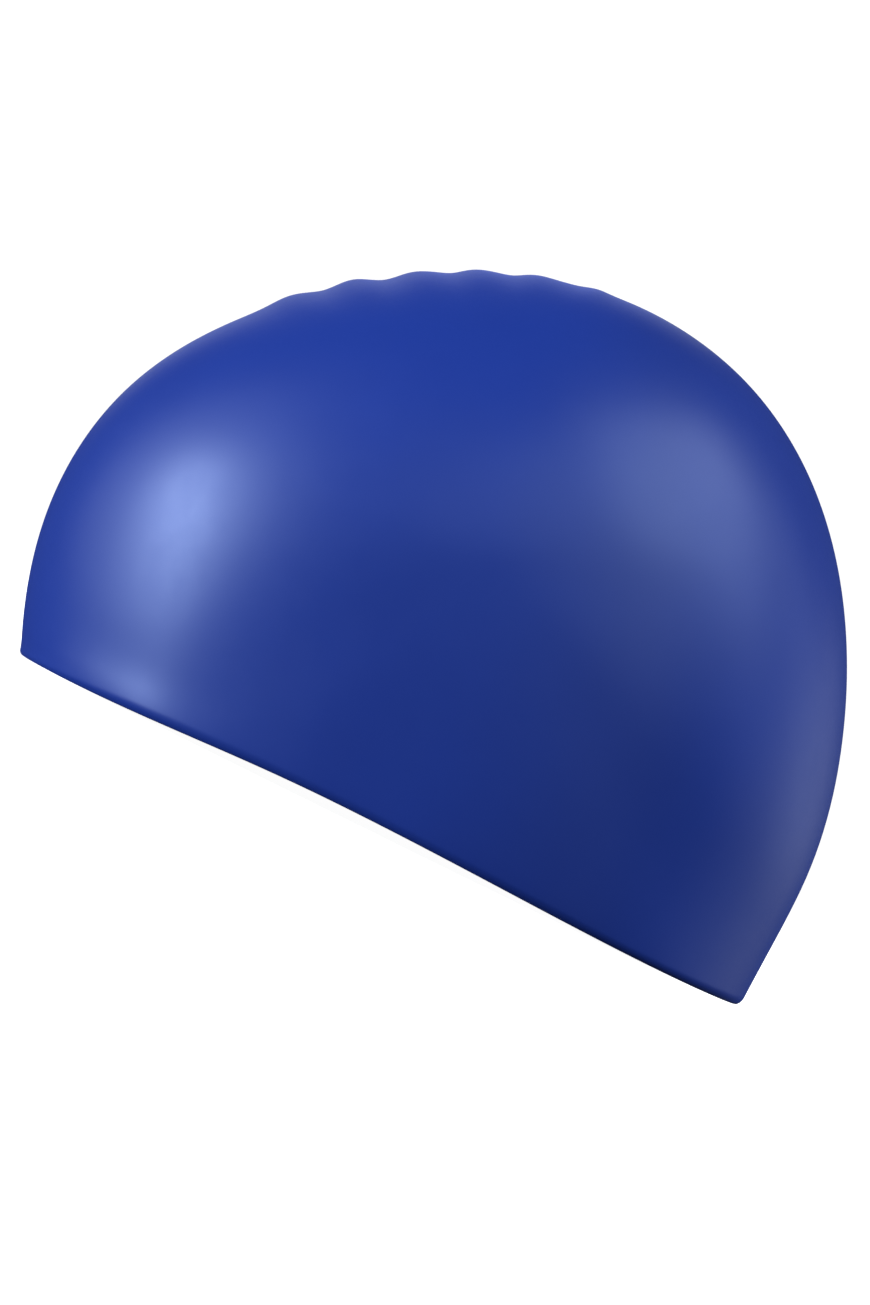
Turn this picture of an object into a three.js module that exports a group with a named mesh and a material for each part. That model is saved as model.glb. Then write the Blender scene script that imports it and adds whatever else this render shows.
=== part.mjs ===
// A swim cap of moulded silicone rubber: one thin, closed-topped dome, open at the rim, in the shape
// that it has over a head. It is a single moulding, so it is a single mesh.
//
// Millimetres, +Z up. The cap stands on its rim: Z = 0 is the surface under it, the brow is towards -X
// and the nape towards +X. The origin is the middle of the cap's outline from above, on that surface.
//
// How the shape is worked out:
//   OUTLINE   the side outline, as a distance from the middle of the head at each station, joined by a
//             smooth closed curve. The last five stations are below the rim: nothing is built there, but
//             they set how the side walls come down to it.
//   the side  every half-plane through the side-to-side axis meets the cap in one arch, a rounded
//             quarter-oval from the outline to the widest point of the side.
//   PLAN      the cap is narrower over the brow than over the back of the head.
//   FLARES    the wall stands out a little more near the rim, mostly at the temples.
//   FOLDS     the crown's low cross folds, where the rubber isn't stretched flat.
//   RIM       the rim stands on the surface at brow and nape and arches a little over the ears. Its edge
//             is a thicker lip, rounded outside and flat underneath.
import * as THREE from "three";

const HEAD = { x: 0.66, z: 67.7 }; // the middle of the head, from which the outline is measured
const HEAD_TILT = 26.1; // degrees that the head's own level is turned from the rim's
const HALF_WIDTH = 77.8; // side to side, from the middle plane to the widest point
const ARCH_POWER = { over: 2.04, under: 2.19 }; // 2 is an oval, more is squarer: over the head and under it
const PLAN = { reach: 100, lean: 0.057, pinch: -0.017 }; // how the width changes along the head
const WALL = 1.0; // thickness of the dome

const OUTLINE = [
  { station: "nape edge", deg: -36, r: 123.8 },
  { station: "nape", deg: -18, r: 106.3 },
  { station: "back of head, low", deg: 0, r: 94.6 },
  { station: "back of head", deg: 20, r: 85.9 },
  { station: "back of head, high", deg: 40, r: 80.8 },
  { station: "crown, back", deg: 60, r: 77.3 },
  { station: "crown, rear slope", deg: 80, r: 73.8 },
  { station: "top", deg: 100, r: 71.6 },
  { station: "top, forward", deg: 120, r: 71.3 },
  { station: "crown, front", deg: 140, r: 75.6 },
  { station: "hairline", deg: 160, r: 85.1 },
  { station: "forehead, high", deg: 180, r: 98.2 },
  { station: "forehead", deg: 198, r: 107.5 },
  { station: "brow edge", deg: 216, r: 114.7 },
  { station: "below the brow", deg: 234, r: 126.7 },
  { station: "below, front", deg: 252, r: 151.5 },
  { station: "below the ears", deg: 270, r: 172 },
  { station: "below, back", deg: 288, r: 189.5 },
  { station: "below the nape", deg: 306, r: 160.7 },
];

// Each fold runs across the crown: where it crosses the middle plane, how high it stands, how wide it is
// in degrees of the outline, and how far it reaches to each side (-Y and +Y).
const FOLDS = [
  { deg: 95, rise: 0.60, spread: 4.1, near: 33, far: 36 },
  { deg: 106.6, rise: 1.01, spread: 4.2, near: 38, far: 35 },
  { deg: 118.3, rise: 1.50, spread: 4.7, near: 41, far: 43 },
  { deg: 129.5, rise: 1.54, spread: 4.6, near: 44, far: 41 },
  { deg: 141.6, rise: 1.57, spread: 3.5, near: 39, far: 42 },
  { deg: 152.2, rise: 1.30, spread: 4.3, near: 36, far: 34 },
];

// Where the wall stands out a little more towards its rim: how far, the height above the rim over which
// that fades, towards the brow (-1) or the nape (+1), how far along it starts and grows (as parts of
// REACH_X), and the distance from the middle plane at which it is in full.
const REACH_X = 95;
const FLARES = [
  { place: "temples", size: 1.8, height: 29, way: -1, start: 0.24, over: 0.39, full_y: 46 },
  { place: "temples, at the rim", size: 1.1, height: 7.5, way: -1, start: 0.24, over: 0.39, full_y: 46 },
  { place: "behind the ears", size: 0.4, height: 16, way: 1, start: 0.2, over: 0.5, full_y: 30 },
];
const FLARE_TURN = { side: 0.8, length: 0.6 }; // which way a flare stands out

const ARCH = { height: 2.5, x: -8.8, front: 75.3, back: 106 }; // how far the rim lifts over the ears
// The lip's section at the brow, over the ears and at the nape: how far the outer edge is rounded in and up.
const LIP = {
  thick: 2.4,
  fade: 9, // height over which the lip thins to the wall
  inner: 0.5, // rounding of the inner edge
  round_in: { brow: 0.8, ear: 1.3, nape: 1.4 },
  round_up: { brow: 1.1, ear: 3.0, nape: 2.4 },
  flare: { size: 0.45, up: 4 }, // the lip kicks out a little at the brow
};

// How finely the walls are faceted.
const MESH = { centre_deg: 123.5, centre_rings: 13, centre_step: 2.4, rings: 12, ring_growth: 1.12 };
const LIP_ROWS_OUT = [4.6, 2.2, 1.0, 0.3]; // heights above the edge, between the dome and the flat underside
const LIP_ROWS_IN = [3.4, 0.5];

const rad = Math.PI / 180;

// A closed curve through the stations with continuous curvature: a periodic cubic spline.
function closedSpline(rows) {
  const n = rows.length;
  const x = rows.map((s) => s.deg);
  const y = rows.map((s) => s.r);
  x.push(x[0] + 360);
  y.push(y[0]);
  const h = (i) => x[((i % n) + n) % n + 1] - x[((i % n) + n) % n];
  const slope = (i) => {
    const k = ((i % n) + n) % n;
    return (y[k + 1] - y[k]) / h(k);
  };
  // The curve's second derivatives solve a small linear system, here by elimination.
  const a = Array.from({ length: n }, () => new Array(n + 1).fill(0));
  for (let i = 0; i < n; i++) {
    a[i][(i + n - 1) % n] += h(i - 1);
    a[i][i] += 2 * (h(i - 1) + h(i));
    a[i][(i + 1) % n] += h(i);
    a[i][n] = 6 * (slope(i) - slope(i - 1));
  }
  for (let c = 0; c < n; c++) {
    for (let r = 0; r < n; r++) {
      if (r === c) continue;
      const f = a[r][c] / a[c][c];
      if (f) for (let k = c; k <= n; k++) a[r][k] -= f * a[c][k];
    }
  }
  const m = a.map((row, i) => row[n] / row[i]);
  m.push(m[0]);
  return (deg) => {
    const t = x[0] + ((((deg - x[0]) % 360) + 360) % 360);
    let i = 0;
    while (i < n - 1 && t > x[i + 1]) i++;
    const w = x[i + 1] - x[i];
    const p = x[i + 1] - t;
    const q = t - x[i];
    return (
      (m[i] * p ** 3 + m[i + 1] * q ** 3) / (6 * w) +
      (y[i] / w - (m[i] * w) / 6) * p +
      (y[i + 1] / w - (m[i + 1] * w) / 6) * q
    );
  };
}

const outline = closedSpline(OUTLINE);
const smooth = (t) => {
  const c = Math.min(1, Math.max(0, t));
  return c * c * (3 - 2 * c);
};

// How far the folds stand out at this angle of the outline and this distance from the middle plane.
function foldHeight(deg, y) {
  let sum = 0;
  for (const f of FOLDS) {
    const off = ((deg - f.deg + 540) % 360) - 180;
    const side = Math.min(1, Math.abs(y) / (y < 0 ? f.near : f.far));
    sum += f.rise * Math.exp(-((off / f.spread) ** 2)) * Math.cos((side * Math.PI) / 2) ** 2;
  }
  return sum;
}

// The outer surface, seen from the middle of the head in a given direction.
function surface(d) {
  const level = Math.hypot(d.x, d.z);
  const deg = Math.atan2(d.z, d.x) / rad;
  const s = outline(deg);
  const under = smooth(0.5 - 0.9 * Math.sin((deg + 10) * rad));
  const power = ARCH_POWER.over + (ARCH_POWER.under - ARCH_POWER.over) * under;
  const r = ((level / s) ** power + (Math.abs(d.y) / HALF_WIDTH) ** power) ** (-1 / power);
  const out = r + foldHeight(deg, r * d.y);
  const p = new THREE.Vector3(HEAD.x + out * d.x, out * d.y, HEAD.z + out * d.z);
  const along =
    ((p.x - HEAD.x) * Math.cos(HEAD_TILT * rad) + (p.z - HEAD.z) * Math.sin(HEAD_TILT * rad)) / PLAN.reach;
  p.y *= 1 + PLAN.lean * along + PLAN.pinch * along * along;
  const flare = { side: 0, length: 0 };
  for (const f of FLARES) {
    const here = smooth(((f.way * p.x) / REACH_X - f.start) / f.over) * smooth(Math.abs(p.y) / f.full_y);
    const size = f.size * here * Math.exp(-((Math.max(p.z, 0) / f.height) ** 2));
    flare.side += FLARE_TURN.side * size;
    flare.length += FLARE_TURN.length * f.way * size;
  }
  p.y += Math.sign(p.y) * flare.side;
  p.x += flare.length;
  return p;
}

// The outward normal there.
function normal(d) {
  const t1 = new THREE.Vector3(-d.z, 0, d.x);
  if (t1.length() < 1e-6) t1.set(1, 0, 0);
  t1.normalize();
  const t2 = new THREE.Vector3().crossVectors(d, t1);
  const e = 2e-3;
  const at = (t, k) => surface(d.clone().addScaledVector(t, k).normalize());
  const a = at(t1, e).sub(at(t1, -e));
  const b = at(t2, e).sub(at(t2, -e));
  const n = a.cross(b).normalize();
  return n.dot(d) < 0 ? n.negate() : n;
}

const rimHeight = (x) => {
  const t = (x - ARCH.x) / (x < ARCH.x ? ARCH.front : ARCH.back);
  return Math.abs(t) >= 1 ? 0 : ARCH.height * Math.cos((t * Math.PI) / 2) ** 2;
};

// Directions are counted from the crown: "turn" round it (0 is towards the nape), "fall" away from it.
const crown = new THREE.Vector3(Math.cos(MESH.centre_deg * rad), 0, Math.sin(MESH.centre_deg * rad));
const backward = new THREE.Vector3(crown.z, 0, -crown.x);
const sideways = new THREE.Vector3(0, 1, 0);
function direction(turn, fall) {
  return crown
    .clone()
    .multiplyScalar(Math.cos(fall))
    .addScaledVector(backward, Math.sin(fall) * Math.cos(turn))
    .addScaledVector(sideways, Math.sin(fall) * Math.sin(turn));
}

// Where the edge of the rim is on one meridian, and how much surface a step of fall covers there.
function edgeOf(turn) {
  let lo = 60 * rad;
  let hi = 170 * rad;
  for (let i = 0; i < 50; i++) {
    const mid = (lo + hi) / 2;
    const p = surface(direction(turn, mid));
    if (p.z > rimHeight(p.x)) lo = mid;
    else hi = mid;
  }
  const fall = (lo + hi) / 2;
  const speed = surface(direction(turn, fall - 0.01)).distanceTo(surface(direction(turn, fall))) / 0.01;
  const p = surface(direction(turn, fall));
  const n = normal(direction(turn, fall));
  const inward = new THREE.Vector3(-n.x, -n.y, 0).normalize();
  return { fall, speed, p, inward };
}

// A lip size at this place of the rim, mixed from its values at brow, ear and nape.
function around(sizes, x) {
  const t = x / REACH_X;
  return t < 0
    ? sizes.ear + (sizes.brow - sizes.ear) * smooth((-t - 0.45) / 0.55)
    : sizes.ear + (sizes.nape - sizes.ear) * smooth((t - 0.45) / 0.55);
}

// One point of the wall: "up" millimetres above the edge, on the outer or the inner face.
function wallPoint(turn, edge, up, outer) {
  const d = direction(turn, edge.fall - up / edge.speed);
  const p = surface(d);
  const n = normal(d);
  const inward = n.negate().lerp(edge.inward, 1 - smooth(up / 5)).normalize();
  if (outer) {
    const up0 = around(LIP.round_up, edge.p.x);
    const in0 = around(LIP.round_in, edge.p.x);
    const k = Math.max(0, 1 - up / up0);
    const rounding = in0 * (1 - Math.sqrt(1 - k * k));
    const kick = smooth((-edge.p.x / REACH_X - 0.75) / 0.25) * LIP.flare.size;
    const flare = kick * Math.max(0, 1 - up / LIP.flare.up) ** 2;
    return p.addScaledVector(inward, rounding - flare);
  }
  const thick = WALL + (LIP.thick - WALL) * (1 - smooth(up / LIP.fade));
  const k = Math.max(0, 1 - up / LIP.inner);
  return p.addScaledVector(inward, thick - LIP.inner * (1 - Math.sqrt(1 - k * k)));
}

function capGeometry() {
  const points = [];
  const faces = [];
  const put = (p) => points.push(p.x, p.y, p.z) / 3 - 1;
  const n = MESH.centre_rings;
  const around4 = 8 * n; // meridians
  const turns = Array.from({ length: around4 }, (_, i) => (i * 2 * Math.PI) / around4);
  const edges = turns.map(edgeOf);
  const gridFall = n * MESH.centre_step * rad;

  const skin = (outer) => {
    // The middle of the crown is a square grid drawn into a disc, so that no fan of slivers meets there.
    const at = (i, j) => {
      if (i === 0 && j === 0) return direction(0, 0);
      const big = Math.max(Math.abs(i), Math.abs(j));
      const turn =
        Math.abs(i) >= Math.abs(j)
          ? (Math.PI / 4) * (j / i) + (i < 0 ? Math.PI : 0)
          : Math.PI / 2 - (Math.PI / 4) * (i / j) + (j < 0 ? Math.PI : 0);
      return direction(turn, big * MESH.centre_step * rad);
    };
    const place = (d) => {
      const p = surface(d);
      return put(outer ? p : p.addScaledVector(normal(d), -WALL));
    };
    const grid = [];
    for (let i = -n; i <= n; i++) {
      const row = [];
      for (let j = -n; j <= n; j++) row.push(place(at(i, j)));
      grid.push(row);
    }
    for (let i = 0; i < 2 * n; i++) {
      for (let j = 0; j < 2 * n; j++) {
        const [a, b, c, e] = [grid[i][j], grid[i + 1][j], grid[i + 1][j + 1], grid[i][j + 1]];
        if (i < n === j < n) faces.push([a, b, c], [a, c, e]);
        else faces.push([a, b, e], [b, c, e]);
      }
    }
    // Its border, in the order of the meridians.
    const border = turns.map((_, k) => {
      const s = Math.floor((k + n) / (2 * n)) % 4;
      const t = ((k + n) % (2 * n)) - n;
      return [grid[2 * n][n + t], grid[n - t][2 * n], grid[0][n - t], grid[n + t][0]][s];
    });
    const loops = [border];
    for (let r = 1; r <= MESH.rings; r++) {
      const f = (r / MESH.rings) ** MESH.ring_growth;
      loops.push(
        turns.map((turn, k) => {
          const last = edges[k].fall - LIP.fade / edges[k].speed;
          return place(direction(turn, gridFall + (last - gridFall) * f));
        }),
      );
    }
    for (const up of [...(outer ? LIP_ROWS_OUT : LIP_ROWS_IN), 0])
      loops.push(turns.map((turn, k) => put(wallPoint(turn, edges[k], up, outer))));
    for (let r = 0; r + 1 < loops.length; r++)
      for (let k = 0; k < around4; k++) {
        const k1 = (k + 1) % around4;
        const [a, b, c, e] = [loops[r][k], loops[r + 1][k], loops[r + 1][k1], loops[r][k1]];
        faces.push([a, b, c], [a, c, e]);
      }
    return loops[loops.length - 1];
  };

  const outerEdge = skin(true);
  const split = faces.length;
  const innerEdge = skin(false);
  for (let f = split; f < faces.length; f++) faces[f].reverse();
  for (let k = 0; k < around4; k++) {
    const k1 = (k + 1) % around4;
    faces.push([outerEdge[k], innerEdge[k], innerEdge[k1]], [outerEdge[k], innerEdge[k1], outerEdge[k1]]);
  }

  const geometry = new THREE.BufferGeometry();
  geometry.setAttribute("position", new THREE.Float32BufferAttribute(points, 3));
  geometry.setIndex(faces.flat());
  geometry.computeVertexNormals();
  return geometry;
}

const silicone = new THREE.MeshStandardMaterial({ color: 0x22389a, roughness: 0.42, metalness: 0 });

const cap = new THREE.Group();
const dome = new THREE.Mesh(capGeometry(), silicone);
dome.name = "cap_dome";
cap.add(dome);

export default cap;
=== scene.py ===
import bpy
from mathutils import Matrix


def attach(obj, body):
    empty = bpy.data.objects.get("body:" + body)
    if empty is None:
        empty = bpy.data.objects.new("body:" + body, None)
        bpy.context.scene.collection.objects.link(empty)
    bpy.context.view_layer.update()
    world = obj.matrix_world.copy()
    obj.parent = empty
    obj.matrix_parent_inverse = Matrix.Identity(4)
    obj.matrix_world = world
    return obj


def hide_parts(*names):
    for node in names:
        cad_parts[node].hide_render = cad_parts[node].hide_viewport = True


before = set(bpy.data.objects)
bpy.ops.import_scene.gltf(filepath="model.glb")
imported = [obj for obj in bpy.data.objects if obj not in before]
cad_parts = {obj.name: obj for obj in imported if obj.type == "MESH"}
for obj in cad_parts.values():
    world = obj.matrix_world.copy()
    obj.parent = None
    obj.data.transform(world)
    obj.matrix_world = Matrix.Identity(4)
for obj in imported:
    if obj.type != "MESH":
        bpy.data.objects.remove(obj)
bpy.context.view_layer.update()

import math

import bpy
import numpy as np
from mathutils import Matrix, Vector

MM = 0.001

# ---------------------------------------------------------------------------------------------------
# Camera: the cap stands on its rim, and the photograph's camera was level with it and turned on its
# side by the rim's slope in the picture, about 26 degrees. The cap's left side is towards the camera.
# ---------------------------------------------------------------------------------------------------
ROLL = math.radians(26.0836)
right = Vector((math.cos(ROLL), 0.0, math.sin(ROLL)))
up = Vector((-math.sin(ROLL), 0.0, math.cos(ROLL)))
back = Vector((0.0, -1.0, 0.0))
cam_data = bpy.data.cameras.new("camera")
cam_data.sensor_width = 36.0
cam_data.lens = 228.6
cam_data.clip_start = 0.05
cam_data.clip_end = 50.0
camera = bpy.data.objects.new("camera", cam_data)
camera.matrix_world = Matrix(
    (
        (right.x, up.x, back.x, -2.51 * MM),
        (right.y, up.y, back.y, -2.0),
        (right.z, up.z, back.z, 44.18 * MM),
        (0, 0, 0, 1),
    )
)
bpy.context.collection.objects.link(camera)
bpy.context.scene.camera = camera

# ---------------------------------------------------------------------------------------------------
# The cap's surface, in millimetres
# ---------------------------------------------------------------------------------------------------
HEAD = (0.66, 67.7)  # the middle of the head: x, z
HEAD_TILT = math.radians(26.1)
HALF_WIDTH = 77.8
ARCH_POWER = {"over": 2.04, "under": 2.19}  # of the arches over the head and of those under it
PLAN_REACH, PLAN_LEAN, PLAN_PINCH = 100.0, 0.057, -0.017
WALL = 1.0

# side outline: degrees round the head from the back (0) over the top (90) to the front (180), and
# the distance there
OUTLINE = np.array(
    [
        (-36, 123.8),
        (-18, 106.3),
        (0, 94.6),
        (20, 85.9),
        (40, 80.8),
        (60, 77.15),
        (80, 73.94),
        (100, 71.75),
        (120, 71.15),
        (140, 75.75),
        (160, 85.10),
        (180, 98.2),
        (198, 107.5),
        (216, 114.7),
        (234, 126.7),
        (252, 151.5),
        (270, 172.0),
        (288, 189.5),
        (306, 160.7),
    ]
)
# folds across the crown: where (degrees), height, width (degrees), how much wider on the brow side,
# reach towards -Y and +Y
FOLDS = [
    (95.1, 0.46, 2.7, -0.03, 33, 36),
    (107.2, 1.01, 4.4, -0.07, 38, 35),
    (118.6, 1.66, 5.3, -0.09, 41, 43),
    (129.5, 1.57, 5.4, -0.25, 44, 41),
    (141.4, 1.41, 3.7, 0.08, 39, 42),
    (152.1, 1.22, 4.0, 0.05, 36, 34),
]
VALLEYS = 2.6  # how sharply neighbouring folds meet
# where the wall stands out a little more towards the rim: place, size, the height over which it fades,
# towards the brow (-1) or nape (1), where along it starts, over how much it grows, and from which |y|
FLARES = [
    ("temples", 1.8, 29.0, -1, 0.24, 0.39, 46.0),
    ("temples, at the rim", 1.1, 7.5, -1, 0.24, 0.39, 46.0),
    ("behind the ears", 0.4, 16.0, 1, 0.2, 0.5, 30.0),
]
ARCH = {"height": 2.5, "x": -8.8, "front": 75.3, "back": 106.0}
LIP = {
    "thick": 2.4,
    "fade": 9.0,
    "inner": 0.55,
    "round_in": (0.8, 1.3, 1.4),  # brow, ear, nape
    "round_up": (1.1, 3.0, 2.4),
    "flare": (0.45, 4.0),
}


def closed_spline(deg, r):
    """Periodic cubic spline through the stations."""
    n = len(deg)
    x, y = np.append(deg, deg[0] + 360.0), np.append(r, r[0])
    h = np.diff(x)
    s = np.diff(y) / h
    a, b = np.zeros((n, n)), np.zeros(n)
    for i in range(n):
        a[i, (i - 1) % n] += h[i - 1]
        a[i, i] += 2 * (h[i - 1] + h[i])
        a[i, (i + 1) % n] += h[i]
        b[i] = 6 * (s[i] - s[i - 1])
    m = np.linalg.solve(a, b)
    m = np.append(m, m[0])

    def at(d):
        t = x[0] + np.mod(np.asarray(d, float) - x[0], 360.0)
        i = np.clip(np.searchsorted(x, t, side="right") - 1, 0, n - 1)
        w, p, q = h[i], x[i + 1] - t, t - x[i]
        return (m[i] * p**3 + m[i + 1] * q**3) / (6 * w) + (y[i] / w - m[i] * w / 6) * p + (
            y[i + 1] / w - m[i + 1] * w / 6
        ) * q

    return at


outline = closed_spline(OUTLINE[:, 0], OUTLINE[:, 1])


def smooth(t):
    c = np.clip(t, 0.0, 1.0)
    return c * c * (3 - 2 * c)


def unit(v):
    return v / np.linalg.norm(v, axis=-1, keepdims=True)


def fold_height(deg, y):
    total = np.zeros_like(deg)
    for at, rise, spread, skew, near, far in FOLDS:
        off = np.mod(deg - at + 540.0, 360.0) - 180.0
        wide = spread * (1 + skew * np.tanh(off / spread))
        side = np.minimum(1.0, np.abs(y) / np.where(y < 0, near, far))
        total += np.maximum(rise * np.exp(-((off / wide) ** 2)) * np.cos(side * math.pi / 2) ** 2, 1e-9) ** VALLEYS
    return total ** (1 / VALLEYS)


def surface(d):
    """The outer surface seen from the middle of the head in directions d."""
    level = np.hypot(d[..., 0], d[..., 2])
    deg = np.degrees(np.arctan2(d[..., 2], d[..., 0]))
    s = outline(deg)
    under = smooth(0.5 - 0.9 * np.sin(np.radians(deg + 10)))
    power = ARCH_POWER["over"] + (ARCH_POWER["under"] - ARCH_POWER["over"]) * under
    r = ((level / s) ** power + (np.abs(d[..., 1]) / HALF_WIDTH) ** power) ** (-1 / power)
    r = r + fold_height(deg, r * d[..., 1])
    p = r[..., None] * d
    p[..., 0] += HEAD[0]
    p[..., 2] += HEAD[1]
    along = ((p[..., 0] - HEAD[0]) * math.cos(HEAD_TILT) + (p[..., 2] - HEAD[1]) * math.sin(HEAD_TILT)) / PLAN_REACH
    p[..., 1] *= 1 + PLAN_LEAN * along + PLAN_PINCH * along * along
    out, forth = np.zeros_like(r), np.zeros_like(r)
    for _, size, height, way, start, over, reach in FLARES:
        k = size * smooth((way * p[..., 0] / 95 - start) / over) * smooth(np.abs(p[..., 1]) / reach)
        k = k * np.exp(-((np.maximum(p[..., 2], 0) / height) ** 2))
        out += 0.8 * k
        forth += 0.6 * way * k
    p[..., 1] += np.sign(p[..., 1]) * out
    p[..., 0] += forth
    return p


def normal(d, e=1.5e-3):
    t1 = np.stack([-d[..., 2], np.zeros_like(d[..., 0]), d[..., 0]], -1)
    t1[np.linalg.norm(t1, axis=-1) < 1e-6] = (1, 0, 0)
    t1 = unit(t1)
    t2 = np.cross(d, t1)
    a = surface(unit(d + e * t1)) - surface(unit(d - e * t1))
    b = surface(unit(d + e * t2)) - surface(unit(d - e * t2))
    n = unit(np.cross(a, b))
    n[np.einsum("...i,...i->...", n, d) < 0] *= -1
    return n


def rim_height(x):
    t = (x - ARCH["x"]) / np.where(x < ARCH["x"], ARCH["front"], ARCH["back"])
    return np.where(np.abs(t) >= 1, 0.0, ARCH["height"] * np.cos(np.clip(t, -1, 1) * math.pi / 2) ** 2)


CROWN = math.radians(123.5)
crown_dir = np.array([math.cos(CROWN), 0.0, math.sin(CROWN)])
backward = np.array([crown_dir[2], 0.0, -crown_dir[0]])
sideways = np.array([0.0, 1.0, 0.0])


def direction(turn, fall):
    return (
        np.cos(fall)[..., None] * crown_dir
        + (np.sin(fall) * np.cos(turn))[..., None] * backward
        + (np.sin(fall) * np.sin(turn))[..., None] * sideways
    )


def around(sizes, x):
    brow, ear, nape = sizes
    t = x / 95.0
    return np.where(
        t < 0,
        ear + (brow - ear) * smooth((-t - 0.45) / 0.55),
        ear + (nape - ear) * smooth((t - 0.45) / 0.55),
    )


def cap_mesh(name):
    """The whole cap as one closed skin: a square grid drawn into a disc on the crown, then rings down
    to the lip, round under it, and the same again inside."""
    n, step = 40, math.radians(0.78)
    count = 8 * n
    turns = np.arange(count) * 2 * math.pi / count
    lo, hi = np.full(count, math.radians(60)), np.full(count, math.radians(170))
    for _ in range(46):
        mid = (lo + hi) / 2
        p = surface(direction(turns, mid))
        above = p[:, 2] > rim_height(p[:, 0])
        lo, hi = np.where(above, mid, lo), np.where(above, hi, mid)
    fall = (lo + hi) / 2
    edge = surface(direction(turns, fall))
    speed = np.linalg.norm(surface(direction(turns, fall - 0.01)) - edge, axis=1) / 0.01
    nrm = normal(direction(turns, fall))
    inward = unit(np.stack([-nrm[:, 0], -nrm[:, 1], np.zeros(count)], 1))

    def wall_point(above, outer):
        d = direction(turns, fall - above / speed)
        p, nn = surface(d), normal(d)
        w = 1 - smooth(above / 5.0)
        way = unit(-nn * (1 - w) + inward * w)
        if outer:
            k = np.maximum(0.0, 1 - above / around(LIP["round_up"], edge[:, 0]))
            rounding = around(LIP["round_in"], edge[:, 0]) * (1 - np.sqrt(1 - k * k))
            size, reach = LIP["flare"]
            kick = smooth((-edge[:, 0] / 95 - 0.75) / 0.25) * size
            move = rounding - kick * max(0.0, 1 - above / reach) ** 2
        else:
            thick = WALL + (LIP["thick"] - WALL) * (1 - smooth(above / LIP["fade"]))
            k = max(0.0, 1 - above / LIP["inner"])
            move = np.full(count, thick - LIP["inner"] * (1 - math.sqrt(1 - k * k)))
        return p + way * move[:, None]

    verts, faces, size = [], [], 0

    def put(p):
        nonlocal size
        p = p.reshape(-1, 3)
        verts.append(p)
        size += len(p)
        return np.arange(size - len(p), size)

    def skin(outer, rings, lip_rows):
        i, j = np.meshgrid(np.arange(-n, n + 1), np.arange(-n, n + 1), indexing="ij")
        big = np.maximum(np.abs(i), np.abs(j))
        with np.errstate(divide="ignore", invalid="ignore"):
            turn = np.where(
                np.abs(i) >= np.abs(j),
                (math.pi / 4) * (j / i) + np.where(i < 0, math.pi, 0.0),
                math.pi / 2 - (math.pi / 4) * (i / j) + np.where(j < 0, math.pi, 0.0),
            )
        turn[big == 0] = 0.0
        d = direction(turn, big * step).reshape(-1, 3)

        def place(d):
            p = surface(d)
            return put(p if outer else p - WALL * normal(d))

        grid = place(d).reshape(2 * n + 1, 2 * n + 1)
        quads = [
            np.stack([grid[:-1, :-1], grid[1:, :-1], grid[1:, 1:], grid[:-1, 1:]], -1).reshape(-1, 4)
        ]
        border = []
        for k in range(count):
            s = ((k + n) // (2 * n)) % 4
            t = ((k + n) % (2 * n)) - n
            border.append(
                (grid[2 * n, n + t], grid[n - t, 2 * n], grid[0, n - t], grid[n + t, 0])[s]
            )
        loops = [np.array(border)]
        last = fall - LIP["fade"] / speed
        for r in range(1, rings + 1):
            f = (r / rings) ** 1.06
            loops.append(place(direction(turns, n * step + (last - n * step) * f)))
        for above in lip_rows:
            loops.append(put(wall_point(above, outer)))
        for a, b in zip(loops, loops[1:]):
            quads.append(np.stack([a, b, np.roll(b, -1), np.roll(a, -1)], 1))
        quads = np.vstack(quads)
        faces.append(quads if outer else quads[:, ::-1])
        return loops[-1]

    def rows(top, bottom_radius, coarse, fine):
        """Heights above the edge: even steps, then closer together round the corner, ending at 0."""
        upper = np.linspace(top, bottom_radius, coarse + 1)[1:]
        lower = bottom_radius * (1 - np.sin(np.linspace(0, math.pi / 2, fine + 1)[1:]))
        return [*upper, *lower]

    outer_edge = skin(True, 84, rows(LIP["fade"], 3.0, 6, 12))
    inner_edge = skin(False, 60, rows(LIP["fade"], LIP["inner"], 8, 5))
    across = 3
    lines = [outer_edge]
    outer_p = np.vstack(verts)[outer_edge]
    inner_p = np.vstack(verts)[inner_edge]
    for k in range(1, across):
        lines.append(put(outer_p + (inner_p - outer_p) * k / across))
    lines.append(inner_edge)
    for a, b in zip(lines, lines[1:]):
        faces.append(np.stack([a, b, np.roll(b, -1), np.roll(a, -1)], 1))

    mesh = bpy.data.meshes.new(name)
    mesh.from_pydata((np.vstack(verts) * MM).tolist(), [], np.vstack(faces).tolist())
    mesh.validate()
    mesh.polygons.foreach_set("use_smooth", [True] * len(mesh.polygons))
    mesh.update()
    return mesh


def socket(node, name, value):
    node.inputs[name].default_value = value


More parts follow.
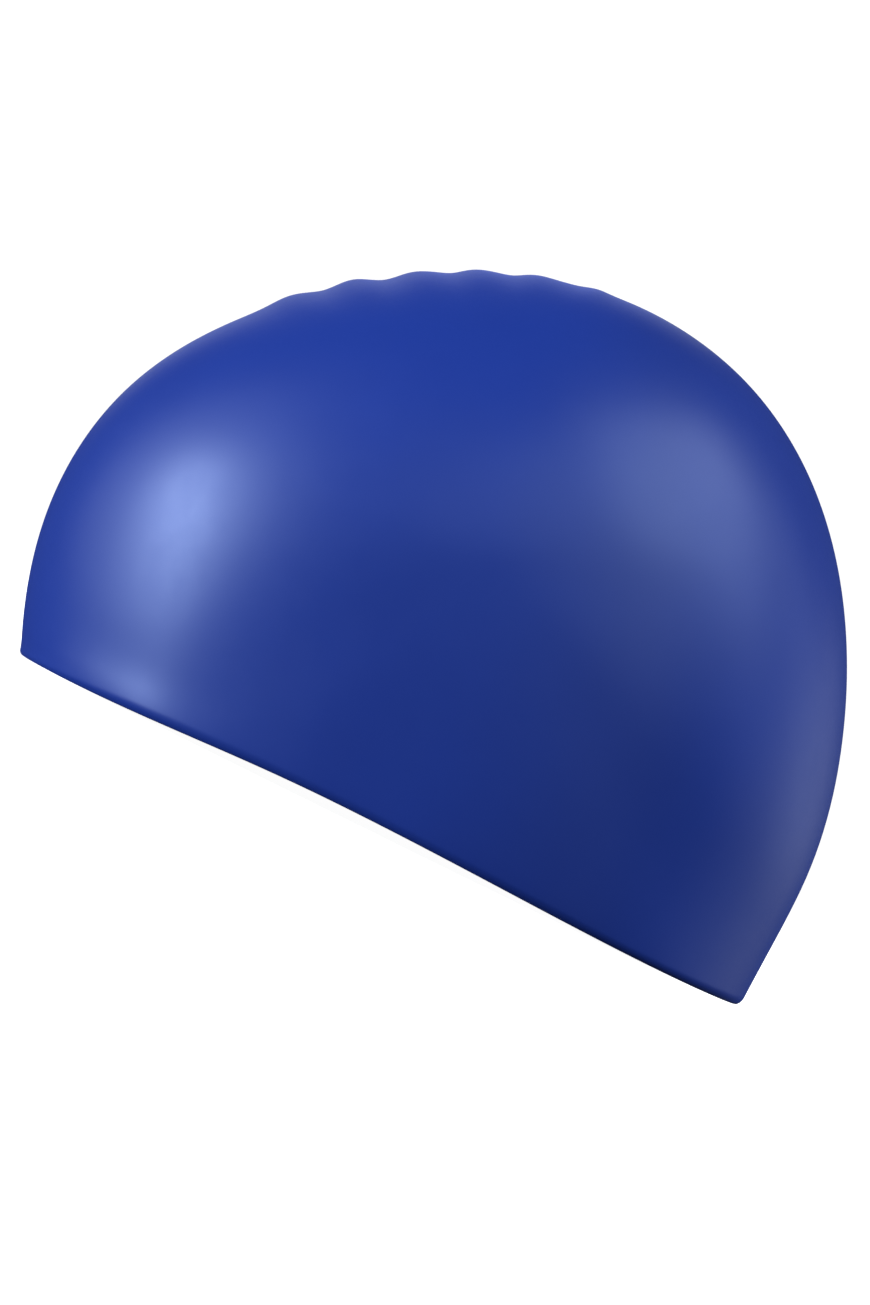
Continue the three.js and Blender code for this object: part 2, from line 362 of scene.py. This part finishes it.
# ---------------------------------------------------------------------------------------------------
# Materials
# ---------------------------------------------------------------------------------------------------
def silicone():
    """Satin silicone rubber, coloured through: nearly even, with the faint clouding, the uneven satin and
    the very fine grain that a matt mould leaves. Sizes are per metre."""
    mat = bpy.data.materials.new("silicone_blue")
    mat.use_nodes = True
    nt = mat.node_tree
    bsdf = nt.nodes["Principled BSDF"]
    socket(bsdf, "IOR", 1.5)
    socket(bsdf, "Specular Tint", (0.557, 0.686, 1.0, 1))
    socket(bsdf, "Sheen Weight", 0.17)
    socket(bsdf, "Sheen Roughness", 0.36)
    socket(bsdf, "Sheen Tint", (0.02, 0.12, 1.0, 1))
    place = nt.nodes.new("ShaderNodeTexCoord").outputs["Object"]

    def noise(scale, detail, rough=0.5):
        n = nt.nodes.new("ShaderNodeTexNoise")
        socket(n, "Scale", scale)
        socket(n, "Detail", detail)
        socket(n, "Roughness", rough)
        nt.links.new(place, n.inputs["Vector"])
        return n.outputs["Fac"]

    def spread(value, low, high, start=0.3, stop=0.7):
        m = nt.nodes.new("ShaderNodeMapRange")
        for name, v in (("From Min", start), ("From Max", stop), ("To Min", low), ("To Max", high)):
            socket(m, name, v)
        nt.links.new(value, m.inputs["Value"])
        return m.outputs["Result"]

    def mixed(fac, a, b):
        m = nt.nodes.new("ShaderNodeMix")
        m.data_type = "RGBA"
        m.inputs[6].default_value = (*a, 1)
        m.inputs[7].default_value = (*b, 1)
        nt.links.new(fac, m.inputs[0])
        return m.outputs[2]

    # colour: pigment clouds some 40 mm across
    cloud = spread(noise(24.0, 3.0), 0.0, 1.0)
    nt.links.new(mixed(cloud, (0.0076, 0.0254, 0.1935), (0.0082, 0.0274, 0.2065)), bsdf.inputs["Base Color"])
    # satin: uneven over about 6 mm and again over about 0.8 mm
    add = nt.nodes.new("ShaderNodeMath")
    add.operation = "ADD"
    nt.links.new(spread(noise(160.0, 2.0), -0.010, 0.010), add.inputs[0])
    nt.links.new(spread(noise(1300.0, 1.0), 0.395, 0.415), add.inputs[1])
    nt.links.new(add.outputs[0], bsdf.inputs["Roughness"])
    # surface: a slow unevenness of the wall, then a grain of about 0.5 mm
    slow = nt.nodes.new("ShaderNodeBump")
    socket(slow, "Strength", 1.0)
    socket(slow, "Distance", 0.00002)
    nt.links.new(noise(45.0, 1.0), slow.inputs["Height"])
    grain = nt.nodes.new("ShaderNodeBump")
    socket(grain, "Strength", 1.0)
    socket(grain, "Distance", 0.000004)
    nt.links.new(noise(2000.0, 2.0), grain.inputs["Height"])
    nt.links.new(slow.outputs["Normal"], grain.inputs["Normal"])
    nt.links.new(grain.outputs["Normal"], bsdf.inputs["Normal"])
    return mat


def floor_material():
    """White studio paper, as bright as the surroundings far off and a little less near the cap."""
    mat = bpy.data.materials.new("floor_white")
    mat.use_nodes = True
    nt = mat.node_tree
    bsdf = nt.nodes["Principled BSDF"]
    socket(bsdf, "Base Color", (0.8, 0.8, 0.8, 1))
    socket(bsdf, "Roughness", 0.9)
    socket(bsdf, "Emission Color", (1, 1, 1, 1))
    far = nt.nodes.new("ShaderNodeVectorMath")
    far.operation = "LENGTH"
    nt.links.new(nt.nodes.new("ShaderNodeTexCoord").outputs["Object"], far.inputs[0])
    glow = nt.nodes.new("ShaderNodeMapRange")
    glow.interpolation_type = "SMOOTHSTEP"
    for name, v in (("From Min", 0.25), ("From Max", 1.2), ("To Min", 0.97), ("To Max", 1.02)):
        socket(glow, name, v)
    nt.links.new(far.outputs["Value"], glow.inputs["Value"])
    nt.links.new(glow.outputs["Result"], bsdf.inputs["Emission Strength"])
    return mat


cap = bpy.data.objects.new("swim_cap", cap_mesh("swim_cap"))
bpy.context.collection.objects.link(cap)
cap.data.materials.append(silicone())
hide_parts("cap_dome")
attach(cap, "root")

# ---------------------------------------------------------------------------------------------------
# Floor, lights and white surroundings
# ---------------------------------------------------------------------------------------------------
floor_mesh = bpy.data.meshes.new("floor")
floor_mesh.from_pydata([(-6, -6, 0), (6, -6, 0), (6, 6, 0), (-6, 6, 0)], [], [(0, 1, 2, 3)])
floor = bpy.data.objects.new("floor", floor_mesh)
floor_mesh.materials.append(floor_material())
bpy.context.collection.objects.link(floor)
floor.visible_diffuse = False
floor.visible_glossy = False
floor.visible_shadow = False

world = bpy.data.worlds.new("white")
bpy.context.scene.world = world
world.use_nodes = True
wn = world.node_tree
ambient = wn.nodes["Background"]
socket(ambient, "Color", (0.85, 0.92, 1, 1))
socket(ambient, "Strength", 0.059)
seen = wn.nodes.new("ShaderNodeBackground")
socket(seen, "Color", (1, 1, 1, 1))
socket(seen, "Strength", 1.06)
path = wn.nodes.new("ShaderNodeLightPath")
pick = wn.nodes.new("ShaderNodeMixShader")
wn.links.new(path.outputs["Is Camera Ray"], pick.inputs[0])
wn.links.new(ambient.outputs[0], pick.inputs[1])
wn.links.new(seen.outputs[0], pick.inputs[2])
wn.links.new(pick.outputs[0], wn.nodes["World Output"].inputs["Surface"])


def softbox(name, azimuth, height, size, turn, radiance, distance=1.6):
    """A rectangular light that faces the cap. Azimuth 0 is on the camera's side, 90 behind the nape."""
    az, el, turn = map(math.radians, (azimuth, height, turn))
    away = Vector((math.sin(az) * math.cos(el), -math.cos(az) * math.cos(el), math.sin(el)))
    level = Vector((0, 0, 1)).cross(away).normalized()
    rise = away.cross(level)
    x = level * math.cos(turn) + rise * math.sin(turn)
    y = -level * math.sin(turn) + rise * math.cos(turn)
    place = Vector((0, 0, 0.07)) + away * distance
    data = bpy.data.lights.new(name, "AREA")
    data.shape = "RECTANGLE"
    data.size, data.size_y = size
    data.energy = radiance * math.pi * size[0] * size[1]
    data.color = (0.85, 0.92, 1.0)
    ob = bpy.data.objects.new(name, data)
    ob.matrix_world = Matrix(
        (
            (x.x, y.x, away.x, place.x),
            (x.y, y.y, away.y, place.y),
            (x.z, y.z, away.z, place.z),
            (0, 0, 0, 1),
        )
    )
    bpy.context.collection.objects.link(ob)
    ob.visible_camera = False
    return ob


for row in (
    # name, azimuth, height, (width, length), turn, radiance
    ("strip_brow", -68.5, -2.5, (0.12, 0.922), 41.9, 93.0),
    ("wide_brow", -82.6, 9.3, (1.27, 1.668), -28.8, 1.52),
    ("wide_nape", 61.9, 54.2, (1.519, 1.392), -5.3, 4.23),
    ("front", 12.5, 30.6, (2.057, 1.439), -0.9, 1.60),
    ("tall_nape", 112.3, 33.4, (0.516, 2.138), 8.8, 0.73),
    ("far_side", -167.7, 17.0, (0.914, 0.766), 3.4, 0.61),
    ("low_nape", 113.1, 7.8, (1.978, 0.71), 2.2, 0.71),
):
    softbox(*row)

bpy.context.scene.view_settings.view_transform = "Standard"
